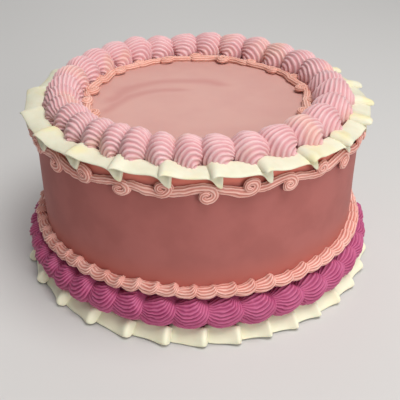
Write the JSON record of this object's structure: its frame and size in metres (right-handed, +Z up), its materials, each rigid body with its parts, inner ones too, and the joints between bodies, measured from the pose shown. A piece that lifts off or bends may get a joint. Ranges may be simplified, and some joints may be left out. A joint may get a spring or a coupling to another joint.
{
  "type": "layer cake",
  "caption": "Round two-layer buttercream cake, flat on top and bottom, with fluted piped shell borders, pleated ribbons and curled trims round its rim and foot.",
  "frame": {"origin": "centre of the flat underside, on the surface that the cake stands on", "axes": "+Z up along the cake's axis, -Y to the front of the picture, +X to its right"},
  "size_m": [0.2368, 0.2366, 0.1223],
  "materials": {
    "rose_buttercream": "smoothed buttercream, satin, faint spatula marks",
    "pink_buttercream": "piped buttercream, satin, fluted by a star tip",
    "coral_buttercream": "piped buttercream, satin, fine strands",
    "cream_buttercream": "piped buttercream, satin, smooth ribbon",
    "orchid_buttercream": "piped buttercream, satin, fluted by a star tip"
  },
  "bodies": {
    "root": {"cake_body": "rose_buttercream", "top_shell_border": "pink_buttercream", "top_trim": "coral_buttercream", "top_ruffle": "cream_buttercream", "side_scroll": "coral_buttercream", "base_trim": "coral_buttercream", "base_shell_border": "orchid_buttercream", "base_ruffle": "cream_buttercream"}
  },
  "joints": []
}
